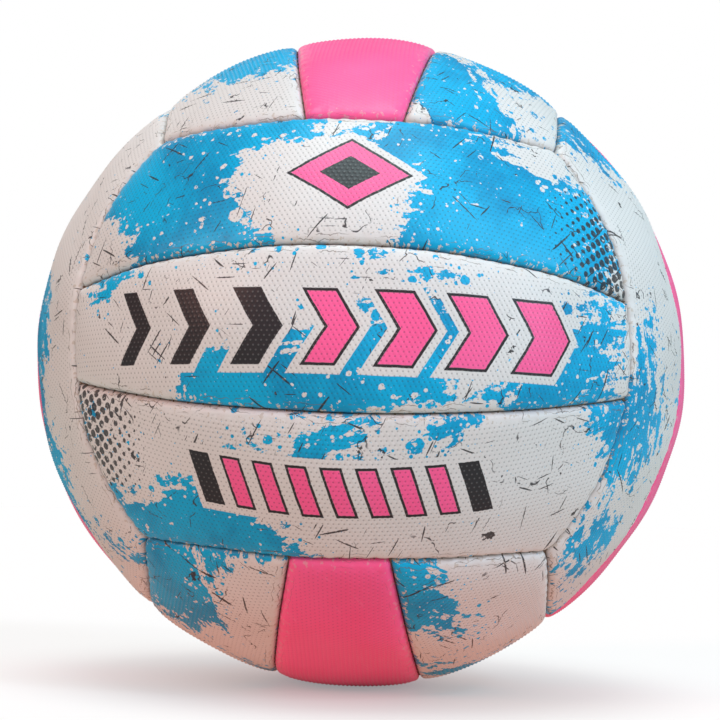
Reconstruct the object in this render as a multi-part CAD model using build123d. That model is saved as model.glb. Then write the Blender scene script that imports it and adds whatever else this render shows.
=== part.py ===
from build123d import *
from math import acos, asin, atan2, cos, degrees, hypot, pi, radians, sin, sqrt, tan
import os

# A size 5 netball: 18 stitched panels, each a rubber cover on a cloth lining, over an air bladder with
# a needle valve. Millimetres. The origin is the ball's centre, +Z goes up through the valve, and -Y is
# the front. Six faces of three strips each lie on the ball as on a cube, and the strips of
# neighbouring faces run at right angles to each other.

# Ball. Each of its six faces is blown up round a centre of its own, shifted towards that face, so the
# middle of a face rises above the ball's mean radius and the cube's corners stay below it.
CIRCUMFERENCE = 700.0
FACE_RISE = 0.9
FACE_SHIFT = 4.2

# Panel layout, as angles at the ball's centre from the middle of a face, in degrees
STRIP_SEAM_ANGLE = 12.76
FACE_SEAM_ANGLE = 37.39

# Panel laminate, with its edges rolled in and turned down into stitching flanges
COVER_THICKNESS = 1.1
LINING_THICKNESS = 0.9
GLUE_LINE = 0.1
EDGE_ROLL = 3.5
LEAST_ROLL = 0.2
FLANGE_DEPTH = 7.0
SEAM_GAP = 0.2

# Seam thread, lying in the groove between two rolled edges
THREAD_DIAMETER = 0.8
THREAD_CLEARANCE = 0.1
THREAD_END_MARGIN = 4.0

# Bladder
BLADDER_WALL = 0.6
BLADDER_GAP = 0.2

# Valve, on the axis of the top middle strip
VALVE_RECESS = 0.5
STEM_RADIUS = 4.0
STEM_CLEARANCE = 0.2
PATCH_RADIUS = 14.0
PATCH_THICKNESS = 0.8
HOUSING_FLANGE_RADIUS = 9.0
HOUSING_FLANGE_THICKNESS = 1.2
HOUSING_TAIL = 14.0
CORE_RADIUS = 2.4
CORE_HEAD_RADIUS = 3.2
CORE_HEAD_HEIGHT = 1.2
CORE_CLEARANCE = 0.05
NEEDLE_BORE_RADIUS = 0.95

# Distances from the ball's centre, and how far each layer is sunk below the ball's surface
BALL_RADIUS = CIRCUMFERENCE / (2 * pi)
FACE_TOP = BALL_RADIUS + FACE_RISE
FACE_RADIUS = FACE_TOP - FACE_SHIFT
FLANGE_EDGE = BALL_RADIUS - FLANGE_DEPTH
LINING_SINK = COVER_THICKNESS + GLUE_LINE
LINING_UNDERSIDE = LINING_SINK + LINING_THICKNESS
INNER_ROLL = max(EDGE_ROLL - LINING_UNDERSIDE, LEAST_ROLL)
BLADDER_SINK = LINING_UNDERSIDE + BLADDER_GAP
BLADDER_CORE = FLANGE_EDGE - BLADDER_GAP
PATCH_TOP = FACE_TOP - BLADDER_SINK - BLADDER_WALL - GLUE_LINE
HOUSING_FLANGE_TOP = PATCH_TOP - PATCH_THICKNESS - GLUE_LINE
HOUSING_BOTTOM = HOUSING_FLANGE_TOP - HOUSING_FLANGE_THICKNESS - HOUSING_TAIL
VALVE_TOP = FACE_TOP - VALVE_RECESS
STEM_HOLE_RADIUS = STEM_RADIUS + STEM_CLEARANCE

# In a face's own frame x runs along its strips, y across them and z outwards. The seam along a face's
# long side lies on a cone from the ball's centre, through two corners of the cube and through the
# middle of that side. The strips of the next face end on the same cone.
CORNER = 1 / sqrt(3)
STRIP_SEAM = radians(STRIP_SEAM_ANGLE)
MIDDLE_ACROSS = sin(radians(FACE_SEAM_ANGLE)) - CORNER
MIDDLE_OUTWARD = cos(radians(FACE_SEAM_ANGLE)) - CORNER
CONE_TILT = atan2(MIDDLE_ACROSS, MIDDLE_OUTWARD)
CONE_ANGLE = acos(CORNER * (cos(CONE_TILT) - sin(CONE_TILT)))

# Half the turn of each seam round its axis
STRIP_SEAM_REACH = hypot(cos(STRIP_SEAM) * cos(CONE_TILT), sin(CONE_TILT))
STRIP_SEAM_LEAN = atan2(sin(CONE_TILT), cos(STRIP_SEAM) * cos(CONE_TILT))
STRIP_SEAM_TURN = acos(cos(CONE_ANGLE) / STRIP_SEAM_REACH) - STRIP_SEAM_LEAN
FACE_SEAM_TURN = asin(CORNER / sin(CONE_ANGLE))

# Each face: its outward direction, the direction along its strips, its strips' names from -y to +y,
# and the faces past its long sides at -y and +y
FACES = {
    "front": ((0, -1, 0), (1, 0, 0), ("lower", "middle", "upper"), ("bottom", "top")),
    "back": ((0, 1, 0), (-1, 0, 0), ("lower", "middle", "upper"), ("bottom", "top")),
    "top": ((0, 0, 1), (0, -1, 0), ("left", "middle", "right"), ("left", "right")),
    "bottom": ((0, 0, -1), (0, 1, 0), ("left", "middle", "right"), ("left", "right")),
    "right": ((1, 0, 0), (0, 0, -1), ("front", "middle", "rear"), ("front", "back")),
    "left": ((-1, 0, 0), (0, 0, 1), ("front", "middle", "rear"), ("front", "back")),
}

CENTRE = Vector(0, 0, 0)
HALF_TURN = Rotation(0, 0, 180)
UPRIGHT = (Align.CENTER, Align.CENTER, Align.MIN)
# Cutting solids start this far from the centre and end outside the ball.
CUT_START = BALL_RADIUS / 4
CUT_END = 2 * BALL_RADIUS


def ball(radius):
    """A ball whose poles and seam line stay clear of the face at +z."""
    return Plane(CENTRE, x_dir=(0, 0, -1), z_dir=(1, 0, 0)) * Sphere(radius)


def face_ball(top):
    """The ball that a face at +z belongs to, reaching up to top on the face's axis."""
    return Pos(0, 0, FACE_SHIFT) * ball(top - FACE_SHIFT)


def seam_cone(axis, away, shift):
    """The cone of a face seam, its wall moved inwards by shift and its own seam line turned away."""
    apex = Vector(axis) * (shift / sin(CONE_ANGLE))
    start = apex + Vector(axis) * CUT_START
    spread = tan(CONE_ANGLE)
    cone = Cone(CUT_START * spread, CUT_END * spread, CUT_END - CUT_START, align=UPRIGHT)
    return Plane(start, x_dir=away, z_dir=axis) * cone


def strip_end(end, shift):
    """The cone that the strips end on at +x or -x, moved into the strips by shift."""
    axis = (-end * sin(CONE_TILT), 0, cos(CONE_TILT))
    away = (-end * cos(CONE_TILT), 0, -sin(CONE_TILT))
    return seam_cone(axis, away, shift)


def long_side(shift):
    """The cone past the +y long side, moved into the face by shift."""
    axis = (0, cos(CONE_TILT), -sin(CONE_TILT))
    away = (0, -sin(CONE_TILT), -cos(CONE_TILT))
    return seam_cone(axis, away, -shift)


def strip_side(side, shift):
    """All on the middle strip's side of the strip seam at +y or -y, moved into that strip by shift."""
    inwards = Vector(0, -side * cos(STRIP_SEAM), sin(STRIP_SEAM))
    block = Box(2 * CUT_END, 2 * CUT_END, CUT_END, align=UPRIGHT)
    return Plane(inwards * shift, x_dir=(1, 0, 0), z_dir=inwards) * block


def wedge(strip, sink, inset, floor):
    """The space of one strip from sink below the surface down to floor, inset from the seams' middles."""
    space = face_ball(FACE_TOP - sink) & strip_end(1, inset) & strip_end(-1, inset)
    if strip == "middle":
        space = space & strip_side(1, inset) & strip_side(-1, inset)
    else:
        space = space - strip_side(1, -inset) - long_side(inset)
    return space - ball(floor)


def rolled_wedge(strip, sink, floor):
    """A wedge as far in from its seams as it is sunk, with its edges rolled down from the top."""
    space = wedge(strip, sink, SEAM_GAP / 2 + sink, floor)
    lower_quarter = floor + (BALL_RADIUS - sink - floor) / 4
    rolled_edges = [edge for edge in space.edges() if (edge @ 0.5).length > lower_quarter]
    return fillet(rolled_edges, max(EDGE_ROLL - sink, LEAST_ROLL))


def tray(strip, sink, thickness):
    """One layer of a panel: a skin whose edges roll in and run down to the flange's edge."""
    hollow = rolled_wedge(strip, sink + thickness, FLANGE_EDGE - FLANGE_DEPTH)
    return rolled_wedge(strip, sink, FLANGE_EDGE) - hollow


def on_face(face, shape, side=1):
    """A shape from a face's own frame, on the named face, turned half round for its -y side."""
    outward, along, _, _ = FACES[face]
    frame = Plane(CENTRE, x_dir=along, z_dir=outward).location
    return frame * (shape if side > 0 else HALF_TURN * shape)


def on_all_faces(middle, outer):
    """The three strips of every face, each with its face's and its own name."""
    for face, (_, _, names, _) in FACES.items():
        yield face, names[0], on_face(face, outer, -1)
        yield face, names[1], on_face(face, middle)
        yield face, names[2], on_face(face, outer)


def post(radius, low, high=CUT_END):
    """A round post on the valve's axis, from low up to a domed end."""
    return Pos(0, 0, low) * Cylinder(radius, CUT_END, align=UPRIGHT) & face_ball(high)


def panels(layer, sink, thickness):
    """One layer of all 18 panels, with the valve's hole in the top middle one."""
    layers = {}
    for face, strip, shape in on_all_faces(tray("middle", sink, thickness), tray("outer", sink, thickness)):
        pierced = (face, strip) == ("top", "middle")
        layers[f"{face}_{strip}_{layer}"] = shape - post(STEM_HOLE_RADIUS, 0) if pierced else shape
    return layers


def padded_ball(shrink):
    """The bladder's form, shrunk all round: a ball inside the flanges with a pad up into every panel."""
    radius = BLADDER_CORE - shrink
    sink = BLADDER_SINK + shrink
    inset = SEAM_GAP / 2 + sink + INNER_ROLL
    floor = radius - FLANGE_DEPTH
    pads = on_all_faces(wedge("middle", sink, inset, floor), wedge("outer", sink, inset, floor))
    return ball(radius).fuse(*[shape for _, _, shape in pads])


def bladder():
    """The air bag, grooved round the flanges and pressed into every panel."""
    return padded_ball(0) - padded_ball(BLADDER_WALL) - post(STEM_HOLE_RADIUS, 0)


def dished_disc(radius, top, thickness):
    """A disc on the valve's axis, dished to follow the face."""
    return post(radius, 0, top) - face_ball(top - thickness)


def valve_patch():
    """The reinforcing disc bonded round the valve, inside the bladder."""
    return dished_disc(PATCH_RADIUS, PATCH_TOP, PATCH_THICKNESS) - post(STEM_HOLE_RADIUS, 0)


def valve_housing():
    """The flanged sleeve that takes the core."""
    sleeve = post(STEM_RADIUS, HOUSING_BOTTOM, VALVE_TOP)
    flange = dished_disc(HOUSING_FLANGE_RADIUS, HOUSING_FLANGE_TOP, HOUSING_FLANGE_THICKNESS)
    head_seat = post(CORE_HEAD_RADIUS + CORE_CLEARANCE, VALVE_TOP - CORE_HEAD_HEIGHT)
    return sleeve + flange - head_seat - post(CORE_RADIUS + CORE_CLEARANCE, 0)


def valve_core():
    """The replaceable plug with the needle's passage, its head above the seat by the clearance."""
    plug = post(CORE_RADIUS, HOUSING_BOTTOM, VALVE_TOP)
    head = post(CORE_HEAD_RADIUS, VALVE_TOP - CORE_HEAD_HEIGHT + CORE_CLEARANCE, VALVE_TOP)
    return plug + head - post(NEEDLE_BORE_RADIUS, 0)


def surface_reach(way):
    """How far a face at +z is from the ball's centre, in a direction."""
    along = FACE_SHIFT * way.Z
    return along + sqrt(along**2 + FACE_RADIUS**2 - FACE_SHIFT**2)


def seam_thread(axis, cone_angle, middle, half_turn):
    """A thread in the groove of the seam round axis, half_turn to each side of its middle."""
    to_roll = EDGE_ROLL + THREAD_CLEARANCE + THREAD_DIAMETER / 2
    sink = EDGE_ROLL - sqrt(to_roll**2 - (EDGE_ROLL + SEAM_GAP / 2) ** 2)
    turn = degrees(half_turn - THREAD_END_MARGIN / (BALL_RADIUS * sin(cone_angle)))
    ways = [middle.rotate(Axis(CENTRE, axis), part * turn) for part in (-1, 0, 1)]
    path = ThreePointArc(*[way * (surface_reach(way) - sink) for way in ways])
    section = Plane(path @ 0, z_dir=path % 0) * Circle(THREAD_DIAMETER / 2)
    return sweep(section, path)


def strip_thread(side):
    """The thread between the middle strip and the one at +y or -y."""
    middle = Vector(0, side * sin(STRIP_SEAM), cos(STRIP_SEAM))
    axis = Vector(0, cos(STRIP_SEAM), -side * sin(STRIP_SEAM))
    return seam_thread(axis, pi / 2, middle, STRIP_SEAM_TURN)


def face_thread():
    """The thread along the +y long side of a face."""
    axis = Vector(0, cos(CONE_TILT), -sin(CONE_TILT))
    middle = Vector(0, sin(radians(FACE_SEAM_ANGLE)), cos(radians(FACE_SEAM_ANGLE)))
    return seam_thread(axis, CONE_ANGLE, middle, FACE_SEAM_TURN)


def threads():
    """The thread of every seam, the two between one face's strips together."""
    by_name = {}
    strip_pair = strip_thread(1) + strip_thread(-1)
    long_thread = face_thread()
    for face, (_, _, _, neighbours) in FACES.items():
        by_name[f"{face}_strip_threads"] = on_face(face, strip_pair)
        for side, neighbour in zip((-1, 1), neighbours):
            by_name[f"{face}_{neighbour}_thread"] = on_face(face, long_thread, side)
    return by_name


nodes = {
    **panels("cover", 0, COVER_THICKNESS),
    **panels("lining", LINING_SINK, LINING_THICKNESS),
    **threads(),
    "bladder": bladder(),
    "valve_patch": valve_patch(),
    "valve_housing": valve_housing(),
    "valve_core": valve_core(),
}
os.makedirs("parts", exist_ok=True)
for name, shape in nodes.items():
    export_step(shape, f"parts/{name}.step")
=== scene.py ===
from collections import namedtuple
from math import acos, asin, atan2, ceil, cos, floor, hypot, pi, radians, sin, sqrt

import bpy
import numpy as np
from mathutils import Matrix, Quaternion, Vector


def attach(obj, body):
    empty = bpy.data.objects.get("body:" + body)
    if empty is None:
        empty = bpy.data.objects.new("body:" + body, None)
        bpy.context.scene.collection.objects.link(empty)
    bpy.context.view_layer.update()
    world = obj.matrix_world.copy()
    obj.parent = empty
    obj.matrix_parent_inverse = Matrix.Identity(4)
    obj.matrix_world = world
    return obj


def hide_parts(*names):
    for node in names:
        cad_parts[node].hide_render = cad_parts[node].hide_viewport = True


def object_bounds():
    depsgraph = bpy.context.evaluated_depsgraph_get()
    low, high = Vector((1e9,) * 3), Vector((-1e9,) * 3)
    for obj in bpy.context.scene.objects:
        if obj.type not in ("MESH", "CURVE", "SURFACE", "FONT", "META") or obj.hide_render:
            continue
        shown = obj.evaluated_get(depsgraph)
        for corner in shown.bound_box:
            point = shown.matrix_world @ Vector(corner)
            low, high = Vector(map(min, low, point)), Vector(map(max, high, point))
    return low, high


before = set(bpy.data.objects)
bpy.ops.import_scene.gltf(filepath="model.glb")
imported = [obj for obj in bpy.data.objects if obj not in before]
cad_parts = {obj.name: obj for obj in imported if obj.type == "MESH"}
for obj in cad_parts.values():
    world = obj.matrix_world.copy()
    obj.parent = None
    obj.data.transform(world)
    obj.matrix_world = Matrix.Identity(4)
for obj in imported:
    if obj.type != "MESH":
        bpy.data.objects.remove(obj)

cad_low, cad_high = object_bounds()

# The ball's own sizes, in metres, as the solids have them, but with the rolled edges pressed tighter
MM = 0.001
BALL_RADIUS = 700 * MM / (2 * pi)
STRIP_SEAM = radians(12.76)
FACE_SEAM = radians(37.39)
COVER_THICKNESS = 1.1 * MM
LINING_THICKNESS = 0.9 * MM
LINING_SINK = 1.2 * MM
EDGE_ROLL = 1.9 * MM
FLANGE_DEPTH = 7.0 * MM
SEAM_GAP = 0.2 * MM
THREAD_RADIUS = 0.4 * MM
THREAD_SINK = 1.756 * MM
THREAD_END_MARGIN = 4.0 * MM
BLADDER_SINK = 2.3 * MM
BLADDER_WALL = 0.6 * MM
BLADDER_GAP = 0.2 * MM
BLADDER_CORE = BALL_RADIUS - FLANGE_DEPTH - BLADDER_GAP
# How far from a seam the bladder starts to rise past the flanges, and where it reaches the lining
BLADDER_RISE = (4.0 * MM, 9.0 * MM)
STEM_HOLE_RADIUS = 4.2 * MM
STEM_HOLE_SIDES = 48

# Grip, stitching and the meshes' own steps, which only the dressed ball has
PIMPLE_PITCH = 1.6 * MM
PIMPLE_RIM = 0.30 * MM
PIMPLE_ROW = PIMPLE_PITCH * sqrt(3) / 2
LEAST_WHOLE_CELL = 0.85 * PIMPLE_PITCH * PIMPLE_ROW
PIMPLE_HEIGHT = 0.25 * MM
LOW_PIMPLE_HEIGHT = 0.13 * MM
GRIP_START = 2.2 * MM
GRIP_FULL = 4.5 * MM
# Nearest and furthest from a seam, and how high the pimples are between them
PIMPLE_BANDS = ((GRIP_START, GRIP_FULL, LOW_PIMPLE_HEIGHT), (GRIP_FULL, BALL_RADIUS, PIMPLE_HEIGHT))
ROLL_LOOPS = (0.1 * MM, 0.25 * MM, 0.5 * MM, 1.0 * MM, 1.8 * MM)
LINING_PITCH = 5.0 * MM
LINING_LOOPS = (0.4 * MM, 1.2 * MM)
STITCH_PITCH = 5.3 * MM
STITCH_SPAN = 0.75 * MM
STITCH_RADIUS = 0.26 * MM
STITCH_SINK = 2.0 * MM
STITCH_STEPS = 6
STITCH_SIDES = 6
THREAD_SIDES = 8
THREAD_STEP = 1.5 * MM
PUCKER_DEPTH = 0.45 * MM
PUCKER_REACH = 2.6 * MM
CROWN_DEPTH = 0.7 * MM
CROWN_REACH = 4.0 * MM
THREAD_DRAWN_IN = CROWN_DEPTH + 0.6 * PUCKER_DEPTH

# How the blown-up ball departs from a sphere: faces swell, corners stay back, and it is even at the valve
SWELL = 3.3 * MM
FACE_RISE = 0.9 * MM
VALVE_CALM = 8.0 * MM
VALVE_FADE = 24.0 * MM
CUBIC_MEAN = 3 / 5
UNDULATION = 0.22 * MM
WAVE_RATE = 0.45
WAVES = (((31, 17, -11), 0.4), ((-19, 37, 23), 1.9), ((13, -29, 41), 3.1))

# In a face's own frame x runs along its strips, y across them and z outwards
CORNER = 1 / sqrt(3)
CONE_TILT = atan2(sin(FACE_SEAM) - CORNER, cos(FACE_SEAM) - CORNER)
CONE_ANGLE = acos(CORNER * (cos(CONE_TILT) - sin(CONE_TILT)))
# Each face's way out, the way its strips run, and its strips and neighbours from -y to +y
FACE_FRAMES = {
    "front": ((0, -1, 0), (1, 0, 0), ("lower", "middle", "upper"), ("bottom", "top")),
    "back": ((0, 1, 0), (-1, 0, 0), ("lower", "middle", "upper"), ("bottom", "top")),
    "top": ((0, 0, 1), (0, -1, 0), ("left", "middle", "right"), ("left", "right")),
    "bottom": ((0, 0, -1), (0, 1, 0), ("left", "middle", "right"), ("left", "right")),
    "right": ((1, 0, 0), (0, 0, -1), ("front", "middle", "rear"), ("front", "back")),
    "left": ((-1, 0, 0), (0, 0, 1), ("front", "middle", "rear"), ("front", "back")),
}
PINK_FACES = ("top", "bottom", "right", "left")

# A seam lies on a cone round axis; a panel on its outer side has side 1, one inside it -1
Seam = namedtuple("Seam", "axis angle side along")
ALONG = np.array((1.0, 0.0, 0.0))
ACROSS = np.array((0.0, 1.0, 0.0))


def strip_seam(at, side):
    """The straight seam between the middle strip and the one at +y or -y."""
    return Seam(np.array((0, at * cos(STRIP_SEAM), -sin(STRIP_SEAM))), pi / 2, side, ALONG)


def end_seam(end):
    """The seam that the strips end on at +x or -x."""
    return Seam(np.array((-end * sin(CONE_TILT), 0, cos(CONE_TILT))), CONE_ANGLE, -1, ACROSS)


LONG_SEAM = Seam(np.array((0, cos(CONE_TILT), -sin(CONE_TILT))), CONE_ANGLE, 1, ALONG)
STRIP_SEAMS = {
    "middle": (strip_seam(1, 1), strip_seam(-1, 1), end_seam(1), end_seam(-1)),
    "outer": (strip_seam(1, -1), LONG_SEAM, end_seam(1), end_seam(-1)),
}
# Half the length and width of the flat sheet that each strip is cut from, and its tilt from the face
SHEETS = {
    "middle": (108 * MM, 29 * MM, 0.0),
    "outer": (108 * MM, 37 * MM, (STRIP_SEAM + FACE_SEAM) / 2),
}


def unit(points):
    """Directions of points from the ball's centre."""
    return points / np.linalg.norm(points, axis=1, keepdims=True)


def seam_distances(points, strip):
    """How far points are inside each of a strip's four seams, along the ball."""
    directions = unit(points)
    return np.stack([
        seam.side * BALL_RADIUS * (np.arccos(np.clip(directions @ seam.axis, -1, 1)) - seam.angle)
        for seam in STRIP_SEAMS[strip]
    ], axis=1)


def seam_outward(seam):
    """The direction from a seam's axis to the seam's middle."""
    outward = np.cross(seam.along, seam.axis)
    return outward if outward[2] > 0 else -outward


def stitch_pull(points, seam):
    """1 at each stitch along a seam and 0 midway between two."""
    turn = np.arctan2(points @ seam.along, points @ seam_outward(seam))
    return 0.5 + 0.5 * np.cos(2 * pi * turn * BALL_RADIUS * sin(seam.angle) / STITCH_PITCH)


def smooth(values, low, high):
    """0 below low, 1 above high and a smooth step between."""
    t = np.clip((values - low) / (high - low), 0, 1)
    return t * t * (3 - 2 * t)


def swell(points):
    """How far the blown-up ball's surface stands out from the sphere, in each point's direction."""
    directions = unit(points)
    cubic = (directions ** 4).sum(axis=1) - CUBIC_MEAN
    waves = sum(np.sin(directions @ np.array(way) * WAVE_RATE + phase) for way, phase in WAVES)
    from_valve = BALL_RADIUS * np.arccos(np.clip(directions[:, 2], -1, 1))
    away = smooth(from_valve, VALVE_CALM, VALVE_FADE)
    return FACE_RISE * (1 - away) + (SWELL * cubic + UNDULATION * waves) * away


def pillow(points, strip):
    """How far a panel's surface is drawn in by its seams and stitches."""
    distances = np.maximum(seam_distances(points, strip), 0)
    drawn = CROWN_DEPTH * np.exp(-distances.min(axis=1) / CROWN_REACH)
    for index, seam in enumerate(STRIP_SEAMS[strip]):
        near = np.exp(-((distances[:, index] / PUCKER_REACH) ** 2))
        drawn += PUCKER_DEPTH * near * stitch_pull(points, seam)
    return drawn


def read_points(mesh):
    """A mesh's vertices as an array."""
    flat = np.empty(len(mesh.vertices) * 3, np.float32)
    mesh.vertices.foreach_get("co", flat)
    return flat.reshape(-1, 3).astype(float)


def write_points(mesh, points):
    """Moves a mesh's vertices."""
    mesh.vertices.foreach_set("co", points.astype(np.float32).ravel())
    mesh.update()


def push_out(points, by):
    """Points moved away from the ball's centre, each by its own distance."""
    return points * (1 + by / np.linalg.norm(points, axis=1))[:, None]


def start_clean():
    """Leaves nothing selected."""
    bpy.ops.object.select_all(action="DESELECT")


def edit(piece):
    """Goes into edit mode on one piece, with all of it selected."""
    start_clean()
    piece.select_set(True)
    bpy.context.view_layer.objects.active = piece
    bpy.ops.object.mode_set(mode="EDIT")
    bpy.ops.mesh.select_all(action="SELECT")


def leave_edit():
    """Goes back to object mode."""
    bpy.ops.object.mode_set(mode="OBJECT")


def apply_modifier(piece, kind, **settings):
    """Adds one modifier with its settings and applies it."""
    start_clean()
    piece.select_set(True)
    bpy.context.view_layer.objects.active = piece
    modifier = piece.modifiers.new(kind.lower(), kind)
    for name, value in settings.items():
        setattr(modifier, name, value)
    bpy.ops.object.modifier_apply(modifier=modifier.name)


def repeat(piece, count, step, join):
    """An array of a piece whose touching edges are joined."""
    apply_modifier(
        piece, "ARRAY", count=count, use_relative_offset=False, use_constant_offset=True,
        constant_offset_displace=step, use_merge_vertices=True, merge_threshold=join,
    )


def honeycomb(pitch, half_length, half_width):
    """A flat sheet of six-sided cells, one of them on the origin."""
    start_clean()
    bpy.ops.mesh.primitive_circle_add(vertices=6, radius=pitch / sqrt(3), fill_type="NGON")
    sheet = bpy.context.object
    row = pitch * sqrt(3) / 2
    columns = 2 * ceil(half_length / pitch)
    row_pairs = ceil(half_width / row)
    join = pitch / 20
    repeat(sheet, 2, (pitch / 2, row, 0), join)
    repeat(sheet, columns, (pitch, 0, 0), join)
    repeat(sheet, row_pairs, (0, 2 * row, 0), join)
    edit(sheet)
    bpy.ops.mesh.remove_doubles(threshold=join)
    bpy.ops.transform.translate(value=(-(columns // 2) * pitch, -(row_pairs // 2) * 2 * row, 0))
    leave_edit()
    return sheet


def wrapped(points, tilt):
    """Points of a flat sheet laid on the ball, the sheet's middle tilted towards +y."""
    turn, lift = points[:, 0] / BALL_RADIUS, points[:, 1] / BALL_RADIUS
    x, y, z = np.cos(lift) * np.sin(turn), np.sin(lift), np.cos(lift) * np.cos(turn)
    return BALL_RADIUS * np.stack([x, y * cos(tilt) + z * sin(tilt), z * cos(tilt) - y * sin(tilt)], axis=1)


def unwrapped(points, tilt):
    """Where points on the ball lie on the flat sheet."""
    x, y, z = unit(points).T
    lift = np.arcsin(np.clip(y * cos(tilt) - z * sin(tilt), -1, 1))
    turn = np.arctan2(x, y * sin(tilt) + z * cos(tilt))
    return BALL_RADIUS * np.stack([turn, lift], axis=1)


CUT_TOLERANCE = 1e-7


def cut_at(strip, distance, trim):
    """Cuts the sheet being edited at a distance inside each seam, and trims it there if asked."""
    for seam in STRIP_SEAMS[strip]:
        reach = BALL_RADIUS * cos(seam.angle + seam.side * distance / BALL_RADIUS)
        bpy.ops.mesh.select_all(action="SELECT")
        bpy.ops.mesh.bisect(
            plane_co=tuple(seam.axis * reach), plane_no=tuple(seam.side * seam.axis),
            clear_outer=trim, threshold=CUT_TOLERANCE,
        )


def panel_layer(strip, pitch, sink, thickness, loops):
    """One layer of a panel in its face's frame: a skin with rolled edges and a turned-down flange."""
    half_length, half_width, tilt = SHEETS[strip]
    inset = SEAM_GAP / 2 + sink
    roll = EDGE_ROLL - sink
    sliver = pitch / 60
    layer = honeycomb(pitch, half_length, half_width)
    write_points(layer.data, wrapped(read_points(layer.data), tilt))
    edit(layer)
    cut_at(strip, inset, trim=True)
    for loop in loops:
        cut_at(strip, inset + loop, trim=False)
    bpy.ops.mesh.select_all(action="SELECT")
    bpy.ops.mesh.remove_doubles(threshold=sliver)
    leave_edit()
    points = unit(read_points(layer.data)) * (BALL_RADIUS - sink)
    short = np.maximum(roll - (seam_distances(points, strip) - inset), 0)
    bend = np.minimum(np.sqrt((short ** 2).sum(axis=1)), roll)
    write_points(layer.data, push_out(points, np.sqrt(roll ** 2 - bend ** 2) - roll))
    edit(layer)
    bpy.ops.mesh.select_mode(type="EDGE")
    bpy.ops.mesh.select_all(action="DESELECT")
    bpy.ops.mesh.select_non_manifold(
        use_wire=False, use_multi_face=False, use_non_contiguous=False, use_verts=False,
    )
    bpy.ops.mesh.extrude_region_move()
    draw_in = (BALL_RADIUS - FLANGE_DEPTH) / (BALL_RADIUS - EDGE_ROLL)
    bpy.ops.transform.resize(value=(draw_in,) * 3, center_override=(0, 0, 0))
    leave_edit()
    # An empty slot for the outer side, and one for the underside and the rim
    layer.data.materials.append(None)
    layer.data.materials.append(None)
    apply_modifier(
        layer, "SOLIDIFY", thickness=thickness, offset=-1, use_quality_normals=True,
        material_offset=1, material_offset_rim=1,
    )
    return layer


def raise_pimples(layer, strip):
    """Raises a pimple on every whole cell of a cover's outer face, lower ones beside the seams."""
    mesh = layer.data
    for nearest, furthest, height in PIMPLE_BANDS:
        corners = np.empty(len(mesh.polygons), np.int32)
        areas = np.empty(len(mesh.polygons), np.float32)
        backs = np.empty(len(mesh.polygons), np.int32)
        centres = np.empty(len(mesh.polygons) * 3, np.float32)
        mesh.polygons.foreach_get("loop_total", corners)
        mesh.polygons.foreach_get("area", areas)
        mesh.polygons.foreach_get("material_index", backs)
        mesh.polygons.foreach_get("center", centres)
        inside = seam_distances(centres.reshape(-1, 3).astype(float), strip).min(axis=1)
        whole = (corners == 6) & (backs == 0) & (areas > LEAST_WHOLE_CELL)
        edit(layer)
        bpy.ops.mesh.select_mode(type="FACE")
        bpy.ops.mesh.select_all(action="DESELECT")
        leave_edit()
        mesh.polygons.foreach_set("select", whole & (inside > nearest) & (inside <= furthest))
        bpy.ops.object.mode_set(mode="EDIT")
        bpy.ops.mesh.inset(use_individual=True, thickness=PIMPLE_RIM, depth=0)
        bpy.ops.mesh.poke(offset=height, center_mode="MEDIAN")
        leave_edit()


def drill(piece):
    """Makes the valve's round hole through a piece, on its z axis."""
    start_clean()
    bpy.ops.mesh.primitive_cylinder_add(
        vertices=STEM_HOLE_SIDES, radius=STEM_HOLE_RADIUS, depth=BALL_RADIUS, location=(0, 0, BALL_RADIUS),
    )
    cutter = bpy.context.object
    apply_modifier(piece, "BOOLEAN", operation="DIFFERENCE", object=cutter, solver="EXACT")
    bpy.data.objects.remove(cutter)


def add_uv(mesh, name, spots):
    """A UV map with one spot for each corner of each face."""
    layer = mesh.uv_layers.new(name=name)
    layer.uv.foreach_set("vector", spots.astype(np.float32).ravel())


def corner_points(mesh):
    """The vertex of each corner of each face, and whether that face is on the back."""
    corners = np.empty(len(mesh.loops), np.int32)
    mesh.loops.foreach_get("vertex_index", corners)
    totals = np.empty(len(mesh.polygons), np.int32)
    backs = np.empty(len(mesh.polygons), np.int32)
    mesh.polygons.foreach_get("loop_total", totals)
    mesh.polygons.foreach_get("material_index", backs)
    return corners, np.repeat(backs > 0, totals)


CM_PER_M = 100
# The bake's map: how much of it the outer side fills, where the back starts, how far the flanges spread
# past the skin, and the room left round a panel
OUTER_SHARE = 0.66
BACK_START = 0.68
FLANGE_SPREAD = 0.05
TILE_ROOM = 1.05


def lay_out(layer, strip):
    """UV maps of a panel's layer: sheet, in centimetres, and the bake's map, outer side below the back."""
    mesh = layer.data
    half_length, half_width, tilt = SHEETS[strip]
    points = read_points(mesh)
    flat = unwrapped(points, tilt)
    corners, backs = corner_points(mesh)
    add_uv(mesh, "sheet", flat[corners] * CM_PER_M)
    depth = BALL_RADIUS - np.linalg.norm(points, axis=1)
    spread = 1 + FLANGE_SPREAD * np.clip(depth / FLANGE_DEPTH, 0, 1)
    tile = 0.5 + flat * spread[:, None] / (2 * TILE_ROOM * np.array((half_length, half_width)))
    tile = tile[corners]
    tile[:, 1] = np.where(backs, BACK_START + tile[:, 1] * (1 - BACK_START), tile[:, 1] * OUTER_SHARE)
    add_uv(mesh, "OFBake", tile)


def face_turn(face, side):
    """The turn from a face's own frame to the ball's, half round more for the face's -y side."""
    outward, along, _, _ = FACE_FRAMES[face]
    z, x = np.array(outward, float), np.array(along, float)
    turn = np.stack([x, np.cross(z, x), z], axis=1)
    return turn if side > 0 else turn @ np.diag((-1.0, -1.0, 1.0))


def new_piece(name, mesh):
    """An object at the origin for a mesh."""
    piece = bpy.data.objects.new(name, mesh)
    bpy.context.scene.collection.objects.link(piece)
    return piece


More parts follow.
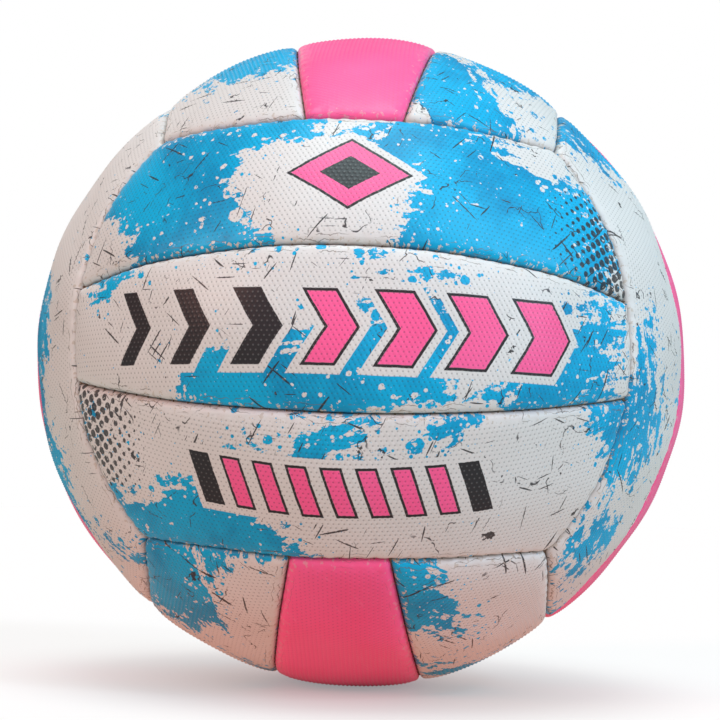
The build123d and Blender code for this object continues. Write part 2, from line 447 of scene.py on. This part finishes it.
def dress(piece, body, node, slot, *finishes):
    """Finishes a piece: its materials, the body it moves with and the node it stands for; its slot is not
    used.
    """
    slots = piece.data.materials
    for index, finish in enumerate(finishes):
        if index < len(slots):
            slots[index] = finish
        else:
            slots.append(finish)
    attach(piece, body)
    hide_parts(node)


SMOOTH_ANGLE = radians(60)


def smooth_shade(piece):
    """Smooth shading that keeps the sharp edges."""
    start_clean()
    piece.select_set(True)
    bpy.context.view_layer.objects.active = piece
    bpy.ops.object.shade_smooth_by_angle(angle=SMOOTH_ANGLE)


class Socket:
    """A value in a finish. Python's operators on it add Math nodes."""

    def __init__(self, finish, socket):
        self.finish = finish
        self.socket = socket

    def math(self, operation, *values):
        return self.finish.node("ShaderNodeMath", {"operation": operation}, dict(enumerate(values)))

    def __add__(self, other):
        return self.math("ADD", self, other)

    def __radd__(self, other):
        return self.math("ADD", other, self)

    def __sub__(self, other):
        return self.math("SUBTRACT", self, other)

    def __rsub__(self, other):
        return self.math("SUBTRACT", other, self)

    def __mul__(self, other):
        return self.math("MULTIPLY", self, other)

    def __rmul__(self, other):
        return self.math("MULTIPLY", other, self)

    def __truediv__(self, other):
        return self.math("DIVIDE", self, other)

    def __pow__(self, power):
        return self.math("POWER", self, power)

    def __abs__(self):
        return self.math("ABSOLUTE", self)

    def __gt__(self, other):
        return self.math("GREATER_THAN", self, other)

    def __lt__(self, other):
        return self.math("LESS_THAN", self, other)

    def __or__(self, other):
        return self.math("MAXIMUM", self, other)

    def __and__(self, other):
        return self.math("MINIMUM", self, other)

    def floor(self):
        return self.math("FLOOR", self)

    def sine(self):
        return self.math("SINE", self)

    def cosine(self):
        return self.math("COSINE", self)


class Finish:
    """One procedural material, or the studio's sky, built node by node."""

    def __init__(self, name, made_in=bpy.data.materials):
        self.owner = made_in.new(name)
        self.owner.use_nodes = True
        self.tree = self.owner.node_tree
        self.tree.nodes.clear()

    def node(self, kind, settings=None, sockets=None, output=0):
        """One node: its settings first, then its sockets' values or links."""
        made = self.tree.nodes.new(kind)
        for name, value in (settings or {}).items():
            setattr(made, name, value)
        for key, value in (sockets or {}).items():
            if isinstance(value, Socket):
                self.tree.links.new(value.socket, made.inputs[key])
            else:
                made.inputs[key].default_value = value
        return Socket(self, made.outputs[output])

    def object_place(self):
        return self.node("ShaderNodeTexCoord", output="Object")

    def uv(self, name):
        return self.node("ShaderNodeUVMap", {"uv_map": name})

    def attribute(self, name):
        return self.node("ShaderNodeAttribute", {"attribute_name": name}, output="Fac")

    def turned(self, place, degrees, scale):
        """A place turned about z and stretched, for patterns that run one way."""
        return self.node("ShaderNodeMapping", {"vector_type": "TEXTURE"}, {
            "Vector": place, "Rotation": (0, 0, radians(degrees)),
            "Scale": tuple(1 / part for part in scale),
        })

    def noise(self, place, scale, detail, roughness, flat=True, output=0):
        return self.node("ShaderNodeTexNoise", {"noise_dimensions": "2D" if flat else "3D"}, {
            "Vector": place, "Scale": scale, "Detail": detail, "Roughness": roughness,
        }, output)

    def cells(self, place, scale, feature="F1", output="Distance"):
        return self.node("ShaderNodeTexVoronoi", {
            "voronoi_dimensions": "2D", "feature": feature,
        }, {"Vector": place, "Scale": scale}, output)

    def split(self, vector):
        """A vector's or colour's three parts."""
        return [self.node("ShaderNodeSeparateXYZ", None, {0: vector}, part) for part in range(3)]

    def warped(self, place, by, amount):
        """A place pushed about by a noise colour."""
        push = self.node("ShaderNodeVectorMath", {"operation": "MULTIPLY_ADD"}, {
            0: by, 1: (amount,) * 3, 2: (-amount / 2,) * 3,
        })
        return self.node("ShaderNodeVectorMath", {"operation": "ADD"}, {0: place, 1: push})

    def step(self, value, low, high):
        """0 where value is below low, 1 above high and a smooth step between."""
        return self.node("ShaderNodeMapRange", {"interpolation_type": "SMOOTHSTEP"}, {
            "Value": value, "From Min": low, "From Max": high,
        })

    def blend(self, share, first, second):
        """Two colours mixed by share."""
        return self.node("ShaderNodeMix", {"data_type": "RGBA"}, {0: share, 6: first, 7: second}, 2)

    def bump(self, height, distance, strength):
        return self.node("ShaderNodeBump", None, {
            "Height": height, "Distance": distance, "Strength": strength,
        })

    def principled(self, **sockets):
        names = {name.replace("_", " ").title(): value for name, value in sockets.items()}
        if "Ior" in names:
            names["IOR"] = names.pop("Ior")
        return self.node("ShaderNodeBsdfPrincipled", None, names)

    def seen_or_lighting(self, seen, lighting):
        """One shader for the camera and another one that lights the ball."""
        seen_here = self.node("ShaderNodeLightPath", output="Is Camera Ray")
        return self.node("ShaderNodeMixShader", None, {0: seen_here, 1: lighting, 2: seen})

    def show(self, shader, output="ShaderNodeOutputMaterial"):
        """Ends the finish with a shader and returns what was made."""
        made = self.tree.nodes.new(output)
        self.tree.links.new(shader.socket, made.inputs["Surface"])
        return self.owner

    def surface(self, **sockets):
        return self.show(self.principled(**sockets))


def rgb(red, green, blue):
    """A colour given in screen values from 0 to 255."""
    parts = [part / 255 for part in (red, green, blue)]
    return (*[part / 12.92 if part <= 0.04045 else ((part + 0.055) / 1.055) ** 2.4 for part in parts], 1)


WHITE = rgb(226, 225, 225)
WARM_WHITE = rgb(217, 214, 212)
CYAN = rgb(0, 176, 226)
DEEP_CYAN = rgb(0, 146, 196)
PINK = rgb(255, 108, 168)
DEEP_PINK = rgb(252, 88, 148)
INK = rgb(46, 43, 47)
WORN = rgb(206, 198, 190)
# The darker colour of the cracks and of the band right at a seam's edge
SEAM_DARK = rgb(104, 92, 84)
UNDERSIDE = rgb(196, 188, 176)
DULL_UNDERSIDE = rgb(168, 158, 146)
PALE_PINK = rgb(255, 160, 204)
RUBBER_IOR = 1.34

# How strongly a painted shadow, with some dirt, darkens one side of each pimple, and how far ink on their
# tops is lightened, partly rubbed off and partly a painted highlight
GRIP_SHADOW_AND_DIRT = 0.40
PINK_GRIP_SHADOW_AND_DIRT = 0.20
INK_RUBBED_AND_HIGHLIGHT = 0.09

# How the cyan paint ends, its splashes as cells to the centimetre and their size, and the ink
# scratches as their slant in degrees and the level of noise at which they show
PAINT_EDGE = (0.545, 0.553)
SPLASHES = ((0.9, 0.26), (2.0, 0.28), (4.0, 0.30))
SCRATCHES = ((68, 0.805), (-22, 0.815), (14, 0.825), (88, 0.825))
SCRATCH_EDGE = 0.015
BLOT_EDGE = (0.728, 0.738)

# A motif's white margin and its ink outline, in centimetres, and how sharply a row of motifs ends
MARGIN_EDGE = (-0.24, -0.22)
OUTLINE_START = (0.0, 0.015)
OUTLINE_END = (0.085, 0.10)
END_CUT = 9


def seam_wear_and_darkening(finish, place, seam, colour, amount):
    """Flaked paint and wavy cracks on the rolled edge beside a seam, and a darker band right at the seam's
    edge.
    """
    band = 1 - finish.step(seam, 0.06, 0.50)
    flakes = finish.noise(place, 6.0, 3, 0.6)
    flaked = finish.step(flakes + band * 0.14, 0.72, 0.76) * finish.step(band, 0.0, 0.2)
    wave = seam * 6.0 + finish.noise(place, 2.0, 3, 0.6) * 1.8
    cracks = 1 - finish.step(abs(wave - wave.floor() - 0.5), 0.03, 0.10)
    patches = finish.step(finish.noise(place, 1.1, 2, 0.5), 0.50, 0.58)
    cracked = cracks * finish.step(band, 0.05, 0.5) * patches
    # Darker right at the seam's edge, down in the groove, and along the cracks
    seam_darkening = (1 - finish.step(seam, 0.005, 0.09)) * 0.4 | cracked * 0.7
    return finish.blend(seam_darkening * amount, finish.blend(flaked * amount, colour, WORN), SEAM_DARK)


def grip_cells(finish, seam):
    """Where the painted shadow dot, with some dirt, on one side of each pimple lies, and where the pimples'
    tops are.
    """
    u, v, _ = finish.split(finish.uv("sheet"))
    across = u * (2 * pi / (PIMPLE_PITCH * CM_PER_M))
    up = v * (2 * pi / (PIMPLE_ROW * CM_PER_M))
    half_up = up * 0.5
    by_column = across.cosine() * 2
    tops = up.cosine() + by_column * half_up.cosine()
    corners = up.sine() - by_column * half_up.sine()
    pimpled = finish.step(seam, GRIP_START * CM_PER_M, GRIP_FULL * CM_PER_M)
    # Only one of each cell's two corner kinds is marked, so the dot is a painted shadow on one side of its
    # pimple, with some dirt
    return finish.step(corners, 1.1, 2.5) * pimpled, finish.step(tops, 1.2, 2.8) * pimpled


def grip_bump(finish, place):
    """The fine grain of moulded rubber."""
    return finish.bump(finish.noise(place, 26.0, 3, 0.6), 0.00010, 0.4)


def chevrons(u, v):
    """How far inside a row of growing chevrons a place is, in centimetres, and which are inked."""
    pitch, lean, half_height, last = 2.15, 0.62, 1.12, 3
    square_to_lean = 0.85
    slant = u + abs(v) * lean
    cell = (slant / pitch + 0.5).floor()
    half_width = 0.52 + cell * 0.07
    aside = (half_width - abs(slant - cell * pitch)) * square_to_lean
    return aside & (half_height - abs(v)) & (last + 0.4 - abs(cell)) * END_CUT, cell < -0.5


def diamond(u, v):
    """How far inside a pink diamond with an inked heart a place is, in centimetres."""
    half_length, half_height, centre_to_side, heart = 1.9, 1.35, 1.1, 0.58
    inside = (1 - abs(u) / half_length - abs(v) / half_height) * centre_to_side
    return inside, inside > heart


def slanted_bars(u, v):
    """How far inside a row of slanted bars a place is, in centimetres, the outer ones inked."""
    pitch, lean, half_width, half_height, last = 1.02, 0.32, 0.33, 0.82, 4
    slant = u + v * lean
    cell = (slant / pitch + 0.5).floor()
    aside = half_width - abs(slant - cell * pitch)
    return aside & (half_height - abs(v)) & (last + 0.4 - abs(cell)) * END_CUT, abs(cell) > last - 0.5


def dot_screen(finish, u, v):
    """Inked dots that grow towards the +u end of a panel."""
    pitch, largest, lost_aside = 0.44, 0.46, 0.25
    along, across = (u + v) / pitch, (u - v) / pitch
    a = along - along.floor() - 0.5
    b = across - across.floor() - 0.5
    size = finish.step(u, 5.2, 9.0) * largest - finish.step(abs(v + 0.3), 0.8, 2.4) * lost_aside
    return finish.step(size - (a * a + b * b) ** 0.5, 0.0, 0.05)


def printed_cover(name, motif=None, dots=False):
    """A white cover with torn cyan paint, splashes and ink scratches, and a motif on some panels."""
    finish = Finish(name)
    place = finish.uv("print")
    u, v, _ = finish.split(finish.uv("sheet"))
    seam = finish.attribute("seam_distance")
    brushed = finish.turned(place, 24, (0.30, 2.2, 1))
    torn = finish.noise(place, 2.0, 4, 0.58)
    paint = finish.noise(place, 0.15, 1.5, 0.45)
    paint = paint + (torn - 0.5) * 0.19 + (finish.noise(brushed, 1.0, 4, 0.62) - 0.5) * 0.24
    cyan = finish.step(paint, *PAINT_EDGE)
    by_edge = 1 - finish.step(abs(paint - sum(PAINT_EDGE) / 2), 0.03, 0.14)
    for scale, share in SPLASHES:
        drop_size = finish.split(finish.cells(place, scale, output="Color"))[0] ** 4 * share
        edge = finish.cells(place, scale) + (torn - 0.5) * 0.30
        drops = finish.step(drop_size * by_edge - edge, 0.0, 0.02)
        cyan = cyan + drops * (1 - cyan * 2)

    wander = finish.warped(place, finish.noise(place, 0.8, 3, 0.5, output="Color"), 1.6)
    cracks = 1 - finish.step(finish.cells(wander, 0.62, "DISTANCE_TO_EDGE"), 0.006, 0.018)
    patches = finish.step(finish.noise(place, 0.5, 2, 0.6), 0.54, 0.60)
    ink = cracks * patches * finish.step(torn, 0.48, 0.52)
    scattered = finish.step(finish.noise(place, 0.28, 2, 0.5), 0.42, 0.60) * 0.05
    for degrees, level in SCRATCHES:
        dashes = finish.noise(finish.turned(place, degrees, (0.55, 8.0, 1)), 1.0, 1.0, 0.4)
        ink = ink | finish.step(dashes + scattered, level, level + SCRATCH_EDGE)
    blots = finish.noise(place, 1.15, 4, 0.62)
    ink = (ink | finish.step(blots, *BLOT_EDGE)) * 0.94

    tone = finish.noise(place, 0.35, 3, 0.5)
    white = finish.blend(tone, WHITE, WARM_WHITE)
    blue = finish.blend(finish.step(tone + (torn - 0.5) * 0.3, 0.35, 0.75), CYAN, DEEP_CYAN)
    if dots:
        ink = ink | dot_screen(finish, u, v) * finish.step(torn, 0.36, 0.40) * 0.92
    if motif:
        inside, inked = motif(u, v)
        inside = inside + (torn - 0.5) * 0.04
        clear = finish.step(inside, *MARGIN_EDGE)
        filled = finish.step(inside, *OUTLINE_END)
        cyan = cyan * (1 - clear)
        ink = ink * (1 - clear)
        ink = ink | finish.step(inside, *OUTLINE_START) * (1 - filled * (1 - inked))
        white = finish.blend(filled, white, finish.blend(tone, PINK, DEEP_PINK))
    corners, tops = grip_cells(finish, seam)
    colour = finish.blend(cyan, white, blue)
    # Ink is lightened on the pimples' tops: partly rubbed off, partly a painted highlight
    colour = finish.blend(ink, colour, finish.blend(tops * INK_RUBBED_AND_HIGHLIGHT, INK, WHITE))
    # Painted shadow, with some dirt, on one side of each pimple
    colour = finish.blend(corners * GRIP_SHADOW_AND_DIRT, seam_wear_and_darkening(finish, place, seam, colour, 1.0), INK)
    sheen = 0.30 + tone * 0.12 + cyan * 0.04
    return finish.surface(
        base_color=colour, roughness=sheen, normal=grip_bump(finish, place), ior=RUBBER_IOR,
    )


def pink_cover():
    """A plain pink cover, a little uneven, with pale scuffs."""
    finish = Finish("pink cover")
    place = finish.uv("print")
    seam = finish.attribute("seam_distance")
    tone = finish.noise(place, 0.4, 4, 0.55)
    colour = finish.blend(tone, PINK, DEEP_PINK)
    scuffs = finish.noise(finish.turned(place, 15, (0.8, 6.0, 1)), 1.0, 5, 0.6)
    colour = finish.blend(finish.step(scuffs, 0.66, 0.80) * 0.2, colour, PALE_PINK)
    corners, _ = grip_cells(finish, seam)
    # Painted shadow, with some dirt, on one side of each pimple
    colour = finish.blend(corners * PINK_GRIP_SHADOW_AND_DIRT, seam_wear_and_darkening(finish, place, seam, colour, 0.35), INK)
    sheen = 0.30 + tone * 0.12
    return finish.surface(
        base_color=colour, roughness=sheen, normal=grip_bump(finish, place), ior=RUBBER_IOR,
    )


def backing():
    """The cover's own underside, bare rubber."""
    finish = Finish("cover underside")
    tone = finish.noise(finish.uv("sheet"), 1.2, 4, 0.6)
    return finish.surface(base_color=finish.blend(tone, UNDERSIDE, DULL_UNDERSIDE), roughness=0.8)


def woven_lining():
    """Coarse cotton and polyester cloth, over and under."""
    finish = Finish("woven lining")
    u, v, _ = finish.split(finish.uv("sheet"))
    threads_per_cm = 9.0
    warp = (u * (threads_per_cm * 2 * pi)).sine()
    weft = (v * (threads_per_cm * 2 * pi)).sine()
    over = finish.step(warp * weft, -0.4, 0.4)
    uneven = finish.noise(finish.uv("sheet"), 2.5, 4, 0.6)
    cloth = finish.blend(over, rgb(214, 208, 194), rgb(176, 168, 152))
    cloth = finish.blend(uneven * 0.5, cloth, rgb(150, 140, 124))
    return finish.surface(base_color=cloth, roughness=0.92, sheen_weight=0.2)


def waxed_thread():
    """Waxed polyester thread, twisted, darkened in patches by dirt and by painted shade of its groove."""
    finish = Finish("waxed thread")
    place = finish.object_place()
    twist = finish.noise(place, 1500, 2, 0.5, flat=False)
    dirt_and_shade = finish.noise(place, 90, 3, 0.6, flat=False)
    colour = finish.blend(twist, rgb(150, 124, 98), rgb(104, 84, 66))
    # Darker in patches: dirt, and painted shade of the groove the thread lies in
    colour = finish.blend(dirt_and_shade, colour, rgb(52, 44, 40))
    return finish.surface(base_color=colour, roughness=0.6)


def rubber(name, dark, light, roughness, scale):
    """Moulded rubber with a bloom on it."""
    finish = Finish(name)
    bloom = finish.noise(finish.object_place(), scale, 5, 0.62, flat=False)
    colour = finish.blend(finish.step(bloom, 0.35, 0.72), dark, light)
    return finish.surface(base_color=colour, roughness=roughness)


# Where each panel's stretch of print is cut from, in centimetres, and its tilt in radians
PRINT_SEED = 11
PRINT_SHIFT = 60
PRINT_TILT = 0.3


def place_panel(mesh, face, side, strip, shift, tilt):
    """Puts a panel's mesh on its face, blown up and drawn in by its stitches, with its own print."""
    points = read_points(mesh)
    distance = seam_distances(points, strip).min(axis=1) * CM_PER_M
    attribute = mesh.attributes.new("seam_distance", "FLOAT", "POINT")
    attribute.data.foreach_set("value", distance.astype(np.float32))
    drawn = pillow(points, strip)
    turned = points @ face_turn(face, side).T
    write_points(mesh, push_out(turned, swell(turned) - drawn))
    sheet = np.empty(len(mesh.loops) * 2, np.float32)
    mesh.uv_layers["sheet"].uv.foreach_get("vector", sheet)
    spin = np.array(((cos(tilt), -sin(tilt)), (sin(tilt), cos(tilt))))
    add_uv(mesh, "print", sheet.reshape(-1, 2) @ spin.T + shift)


def make_covers_and_linings():
    """All 18 panels, each a cover on its lining."""
    strips = {}
    for strip in ("middle", "outer"):
        cover = panel_layer(strip, PIMPLE_PITCH, 0, COVER_THICKNESS, ROLL_LOOPS)
        raise_pimples(cover, strip)
        lining = panel_layer(strip, LINING_PITCH, LINING_SINK, LINING_THICKNESS, LINING_LOOPS)
        strips[strip] = (cover, lining)
    pierced = []
    for layer in strips["middle"]:
        copy = new_piece("pierced", layer.data.copy())
        drill(copy)
        pierced.append(copy)
    strips["pierced"] = tuple(pierced)
    for kind, layers in strips.items():
        for layer in layers:
            lay_out(layer, "outer" if kind == "outer" else "middle")

    finishes = {
        "plain": printed_cover("printed cover"),
        "middle": printed_cover("printed cover with chevrons", chevrons),
        "upper": printed_cover("printed cover with a diamond", diamond, dots=True),
        "lower": printed_cover("printed cover with slanted bars", slanted_bars, dots=True),
        "pink": pink_cover(),
    }
    underside, cloth = backing(), woven_lining()
    draw = np.random.default_rng(PRINT_SEED)
    for face, (_, _, names, _) in FACE_FRAMES.items():
        for name, side, strip in zip(names, (-1, 1, 1), ("outer", "middle", "outer")):
            kind = "pierced" if (face, strip) == ("top", "middle") else strip
            cover, lining = strips[kind]
            shift, tilt = draw.uniform(-PRINT_SHIFT, PRINT_SHIFT, 2), draw.uniform(-PRINT_TILT, PRINT_TILT)
            pink = strip == "middle" and face in PINK_FACES
            if pink:
                finish = finishes["pink"]
            else:
                finish = finishes[name if face in ("front", "back") else "plain"]
            for layer, node in ((cover, "cover"), (lining, "lining")):
                mesh = layer.data.copy()
                place_panel(mesh, face, side, strip, shift, tilt)
                piece = new_piece(f"{face}_{name}_{node}_skin", mesh)
                smooth_shade(piece)
                if node == "cover":
                    slot = "pink_cover" if pink else "white_cover"
                    dress(piece, "ball", f"{face}_{name}_cover", slot, finish, underside)
                else:
                    dress(piece, "ball", f"{face}_{name}_lining", "lining", cloth, cloth)
    for layers in strips.values():
        for layer in layers:
            bpy.data.objects.remove(layer)


def seam_half_turn(seam):
    """The turn of a seam round its axis, from its middle to its end."""
    if seam.angle == CONE_ANGLE:
        return asin(CORNER / sin(CONE_ANGLE))
    reach = hypot(cos(STRIP_SEAM) * cos(CONE_TILT), sin(CONE_TILT))
    return acos(cos(CONE_ANGLE) / reach) - atan2(sin(CONE_TILT), cos(STRIP_SEAM) * cos(CONE_TILT))


def along_seam(seam, turn):
    """The direction of the point of a seam at a turn from the seam's middle."""
    round_axis = seam_outward(seam) * cos(turn) + seam.along * sin(turn)
    return Vector(seam.axis * cos(seam.angle) + round_axis * sin(seam.angle))


def spun_ring(radius, sides, at, facing, turn, steps, axis):
    """A tube: a ring of some sides, facing one way, spun round an axis and closed at its ends."""
    join = radius / 100
    start_clean()
    bpy.ops.mesh.primitive_circle_add(
        vertices=sides, radius=radius, location=at, rotation=facing.to_track_quat("Z", "Y").to_euler(),
    )
    tube = bpy.context.object
    bpy.ops.object.transform_apply(location=True, rotation=True, scale=True)
    edit(tube)
    bpy.ops.mesh.spin(steps=steps, angle=turn, center=(0, 0, 0), axis=axis)
    bpy.ops.mesh.select_all(action="SELECT")
    bpy.ops.mesh.remove_doubles(threshold=join)
    bpy.ops.mesh.fill_holes(sides=sides)
    bpy.ops.mesh.select_all(action="SELECT")
    bpy.ops.mesh.normals_make_consistent(inside=False)
    leave_edit()
    return tube


def joined(parts):
    """Several objects made into one."""
    start_clean()
    for part in parts:
        part.select_set(True)
    bpy.context.view_layer.objects.active = parts[0]
    bpy.ops.object.join()
    return parts[0]


def sewn_seam(seam):
    """The thread in a seam's groove, with a stitch over it at every pitch."""
    lie = BALL_RADIUS - THREAD_SINK
    small_turn = 0.1
    half = seam_half_turn(seam) - THREAD_END_MARGIN / (lie * sin(seam.angle))
    axis = Vector(seam.axis)
    start = along_seam(seam, -half) * lie
    forward = 1 if along_seam(seam, small_turn).dot(axis.cross(along_seam(seam, 0))) > 0 else -1
    steps = ceil(2 * half * lie * sin(seam.angle) / THREAD_STEP)
    thread = spun_ring(
        THREAD_RADIUS, THREAD_SIDES, start, axis.cross(start), forward * 2 * half, steps, axis,
    )
    arch = spun_ring(
        STITCH_RADIUS, STITCH_SIDES, (STITCH_SPAN, 0, 0), Vector((0, 0, 1)), pi, STITCH_STEPS, (0, 1, 0),
    )
    pitch_turn = STITCH_PITCH / (BALL_RADIUS * sin(seam.angle))
    reach = floor(half / pitch_turn)
    parts = [thread]
    for number in range(-reach, reach + 1):
        out = along_seam(seam, number * pitch_turn)
        onward = axis.cross(out).normalized()
        stance = Matrix((onward.cross(out), onward, out)).transposed().to_4x4()
        stitch = new_piece("stitch", arch.data.copy())
        stitch.data.transform(Matrix.Translation(out * (BALL_RADIUS - STITCH_SINK)) @ stance)
        parts.append(stitch)
    bpy.data.objects.remove(arch)
    return joined(parts)


def make_threads():
    """The threads of all the seams, the two between one face's strips in one piece."""
    pair = joined([sewn_seam(strip_seam(1, 1)), sewn_seam(strip_seam(-1, 1))])
    single = sewn_seam(LONG_SEAM)
    thread = waxed_thread()
    for face, (_, _, _, neighbours) in FACE_FRAMES.items():
        runs = [(pair, 1, f"{face}_strip_threads")]
        runs += [(single, side, f"{face}_{other}_thread") for side, other in zip((-1, 1), neighbours)]
        for run, side, node in runs:
            mesh = run.data.copy()
            points = read_points(mesh) @ face_turn(face, side).T
            write_points(mesh, push_out(points, swell(points) - THREAD_DRAWN_IN))
            piece = new_piece(f"{node}_sewn", mesh)
            smooth_shade(piece)
            dress(piece, "ball", node, "thread", thread)
    bpy.data.objects.remove(pair)
    bpy.data.objects.remove(single)


def deepest_inside(points):
    """How far points are from the nearest seam, whatever panel they are under."""
    furthest = np.full(len(points), -1.0)
    for face in FACE_FRAMES:
        for strip, side in (("outer", -1), ("middle", 1), ("outer", 1)):
            inside = seam_distances(points @ face_turn(face, side), strip).min(axis=1)
            furthest = np.maximum(furthest, inside)
    return furthest


def make_bladder():
    """The air bag, pressed up into every panel and grooved round the flanges."""
    start_clean()
    bpy.ops.mesh.primitive_ico_sphere_add(subdivisions=6, radius=BALL_RADIUS)
    bag = bpy.context.object
    bag.name = bag.data.name = "bladder_bag"
    points = read_points(bag.data)
    rise = smooth(deepest_inside(points), *BLADDER_RISE)
    out = BLADDER_CORE + (BALL_RADIUS - BLADDER_SINK - BLADDER_CORE) * rise
    write_points(bag.data, unit(points) * (out + swell(points))[:, None])
    apply_modifier(bag, "SOLIDIFY", thickness=BLADDER_WALL, offset=-1)
    drill(bag)
    smooth_shade(bag)
    finish = rubber("bladder rubber", rgb(38, 37, 38), rgb(70, 68, 66), 0.55, 60)
    dress(bag, "ball", "bladder", "bladder", finish)


def dress_valve():
    """Finishes for the valve's own solids."""
    finishes = {
        "valve_patch": rubber("patch rubber", rgb(52, 50, 50), rgb(84, 82, 80), 0.7, 120),
        "valve_housing": rubber("housing rubber", rgb(34, 33, 34), rgb(60, 58, 57), 0.5, 300),
        "valve_core": rubber("core rubber", rgb(46, 44, 44), rgb(78, 75, 72), 0.45, 400),
    }
    for node, finish in finishes.items():
        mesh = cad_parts[node].data
        mesh.materials.clear()
        mesh.materials.append(finish)


def make_camera():
    """The camera at the photograph's angle."""
    azimuth, elevation, roll = radians(2.777), radians(-5.040), radians(1.886)
    distance = 5.172 * BALL_RADIUS
    picture_side = 720
    back = Vector((sin(azimuth) * cos(elevation), -cos(azimuth) * cos(elevation), sin(elevation)))
    bpy.ops.object.camera_add(location=back * distance)
    camera = bpy.context.object
    camera.rotation_mode = "QUATERNION"
    camera.rotation_quaternion = (-back).to_track_quat("-Z", "Y") @ Quaternion((0, 0, 1), roll)
    camera.data.lens = 81.4
    camera.data.sensor_width = 36
    camera.data.shift_x = -0.13 / picture_side
    camera.data.shift_y = 1.82 / picture_side
    camera.data.clip_start = 0.01
    bpy.context.scene.camera = camera


def make_sun(way, colour, strength, softness):
    """A soft lamp far off in a direction, its softness in degrees."""
    bpy.ops.object.light_add(type="SUN", location=way)
    lamp = bpy.context.object
    lamp.rotation_euler = Vector(way).to_track_quat("Z", "Y").to_euler()
    lamp.data.color = colour
    lamp.data.energy = strength
    lamp.data.angle = radians(softness)


def studio_floor():
    """Pale paper with a painted soft shade under the ball, and a glow of its own that lights the ball from
    below in place of a bounce.
    """
    paper, paper_grain = (0.99, 0.87, 0.85, 1), (0.97, 0.85, 0.83, 1)
    shaded, open_floor = (0.40, 0.40, 0.41, 1), (1, 1, 1, 1)
    dark, warm, neutral = (0.04, 0.03, 0.03, 1), (0.74, 0.37, 0.29, 1), (0.52, 0.63, 0.58, 1)
    evenness = 0.7
    finish = Finish("studio floor")
    place = finish.object_place()
    grain = finish.noise(place, 3.0, 3, 0.5, flat=False)
    from_ball = finish.node("ShaderNodeVectorMath", {"operation": "LENGTH"}, {0: place}, "Value")
    away = from_ball / BALL_RADIUS
    # The floor glows to light the ball, though it is no lamp: warm near the ball, neutral further off, and
    # dark right under it as a painted contact shadow
    glow = finish.blend(finish.step(away, 0.9, 1.7), warm, neutral)
    glow = finish.blend(finish.step(away, 0.05, 0.50), dark, glow)
    sheet = finish.principled(base_color=finish.blend(grain, paper, paper_grain), roughness=0.9, ior=1.2)
    # What the camera sees holds a painted soft shade under the ball, glowing rather than cast
    shade = finish.blend(finish.step(away, 0.0, 1.2), shaded, open_floor)
    pale = finish.node("ShaderNodeEmission", None, {"Color": shade})
    return finish.show(finish.seen_or_lighting(
        finish.node("ShaderNodeMixShader", None, {0: evenness, 1: sheet, 2: pale}),
        finish.node("ShaderNodeEmission", None, {"Color": glow}),
    ))


def studio_sky():
    """A white backdrop to look at, whose light comes more from the right."""
    backdrop, from_left, from_right = (1, 1, 1, 1), (0.18, 0.15, 0.14, 1), (0.35, 0.40, 0.40, 1)
    finish = Finish("studio sky", bpy.data.worlds)
    rightward, _, _ = finish.split(finish.node("ShaderNodeTexCoord", output="Generated"))
    light = finish.blend(finish.step(rightward, -0.9, 0.6), from_left, from_right)
    return finish.show(finish.seen_or_lighting(
        finish.node("ShaderNodeBackground", None, {"Color": backdrop}),
        finish.node("ShaderNodeBackground", None, {"Color": light}),
    ), "ShaderNodeOutputWorld")


def make_studio():
    """A pale floor and sky, with soft lamps: cool from the right and above, warm from left and front."""
    floor_radius = 8
    scene = bpy.context.scene
    scene.view_settings.view_transform = "Standard"
    start_clean()
    bpy.ops.mesh.primitive_circle_add(
        vertices=96, radius=floor_radius, fill_type="NGON", location=(0, 0, cad_low.z),
    )
    floor_disc = bpy.context.object
    floor_disc.name = "floor"
    floor_disc.data.materials.append(studio_floor())
    scene.world = studio_sky()
    upper_right, above, right = (0.57, -0.50, 0.65), (0.0, -0.20, 0.98), (0.85, -0.40, 0.35)
    left, front, behind = (-0.75, -0.55, 0.35), (0.1, -0.90, 0.42), (-0.5, 0.8, 0.5)
    make_sun(upper_right, (0.70, 0.88, 1.0), 0.7, 10)
    make_sun(above, (0.72, 1.0, 1.0), 1.7, 30)
    make_sun(right, (0.61, 0.80, 1.0), 1.0, 14)
    make_sun(left, (1.0, 0.50, 0.40), 1.0, 14)
    make_sun(front, (1.0, 0.48, 0.55), 0.55, 50)
    make_sun(behind, (1.0, 1.0, 1.0), 0.3, 40)


make_camera()
make_studio()
make_covers_and_linings()
make_threads()
make_bladder()
dress_valve()
